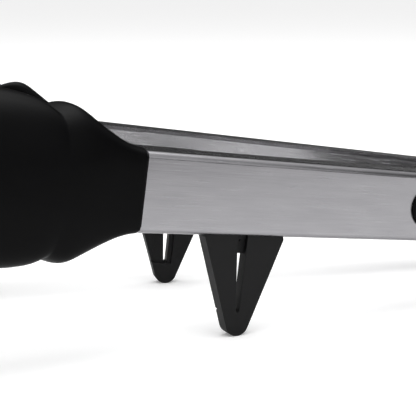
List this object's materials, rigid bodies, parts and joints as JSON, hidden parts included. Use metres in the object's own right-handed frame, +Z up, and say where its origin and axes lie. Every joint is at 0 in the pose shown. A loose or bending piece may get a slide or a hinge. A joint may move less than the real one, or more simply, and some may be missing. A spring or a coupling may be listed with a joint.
{
  "type": "spring loaded kitchen tongs",
  "caption": "Spring loaded kitchen tongs with brushed steel channel arms, scalloped silicone heads, V feet that hold the heads off the counter, soft grips and a pull-loop lock.",
  "frame": {"origin": "middle of the footprint on the surface that the tongs stand on, lying on their side", "axes": "+Z up; heads towards -X and hanging loop towards +X; front arm on the -Y side, rear arm on the +Y side"},
  "size_m": [0.3346, 0.0844, 0.0662],
  "materials": {
    "steel": "brushed lengthwise",
    "rivet_steel": "satin",
    "spring_steel": "drawn wire",
    "silicone": "matt",
    "soft_grip": "matt",
    "nylon": "fine moulded grain"
  },
  "bodies": {
    "pivot": {"pivot_pin": "rivet_steel", "rivet_washer": "rivet_steel", "ear_washers": "rivet_steel", "spring_sleeve": "nylon", "torsion_spring": "spring_steel"},
    "front_side": {"front_arm": "steel", "front_head_core": "nylon", "front_head_rivets": "rivet_steel", "front_head_cover": "silicone", "front_foot": "nylon", "front_grip": "soft_grip", "front_lock_stud": "rivet_steel"},
    "rear_side": {"rear_arm": "steel", "rear_head_core": "nylon", "rear_head_rivets": "rivet_steel", "rear_head_cover": "silicone", "rear_foot": "nylon", "rear_grip": "soft_grip", "rear_lock_stud": "rivet_steel"},
    "lock": {"lock_bar": "steel", "pull_loop": "soft_grip"}
  },
  "joints": [
    {"name": "front_arm_swing", "type": "hinge", "parent": "pivot", "child": "front_side", "pos_m": [0.12393, 0, 0.01039], "axis": [-0.134, 0, -0.991], "range_deg": [0, 5.9], "stiffness_Nm_per_rad": 1.2, "springref_deg": -17.19, "deforming": ["torsion_spring"]},
    {"name": "rear_arm_swing", "type": "hinge", "parent": "pivot", "child": "rear_side", "pos_m": [0.12393, 0, 0.01039], "axis": [0.134, 0, 0.991], "range_deg": [0, 5.9], "stiffness_Nm_per_rad": 1.2, "springref_deg": -17.19, "deforming": ["torsion_spring"]},
    {"name": "lock_slide", "type": "slide", "parent": "pivot", "child": "lock", "axis": [0.991, 0, -0.134], "range_m": [0, 0.008]}
  ],
  "couplings": [
    {"joint": "rear_arm_swing", "follows": "front_arm_swing", "ratio": 1}
  ]
}
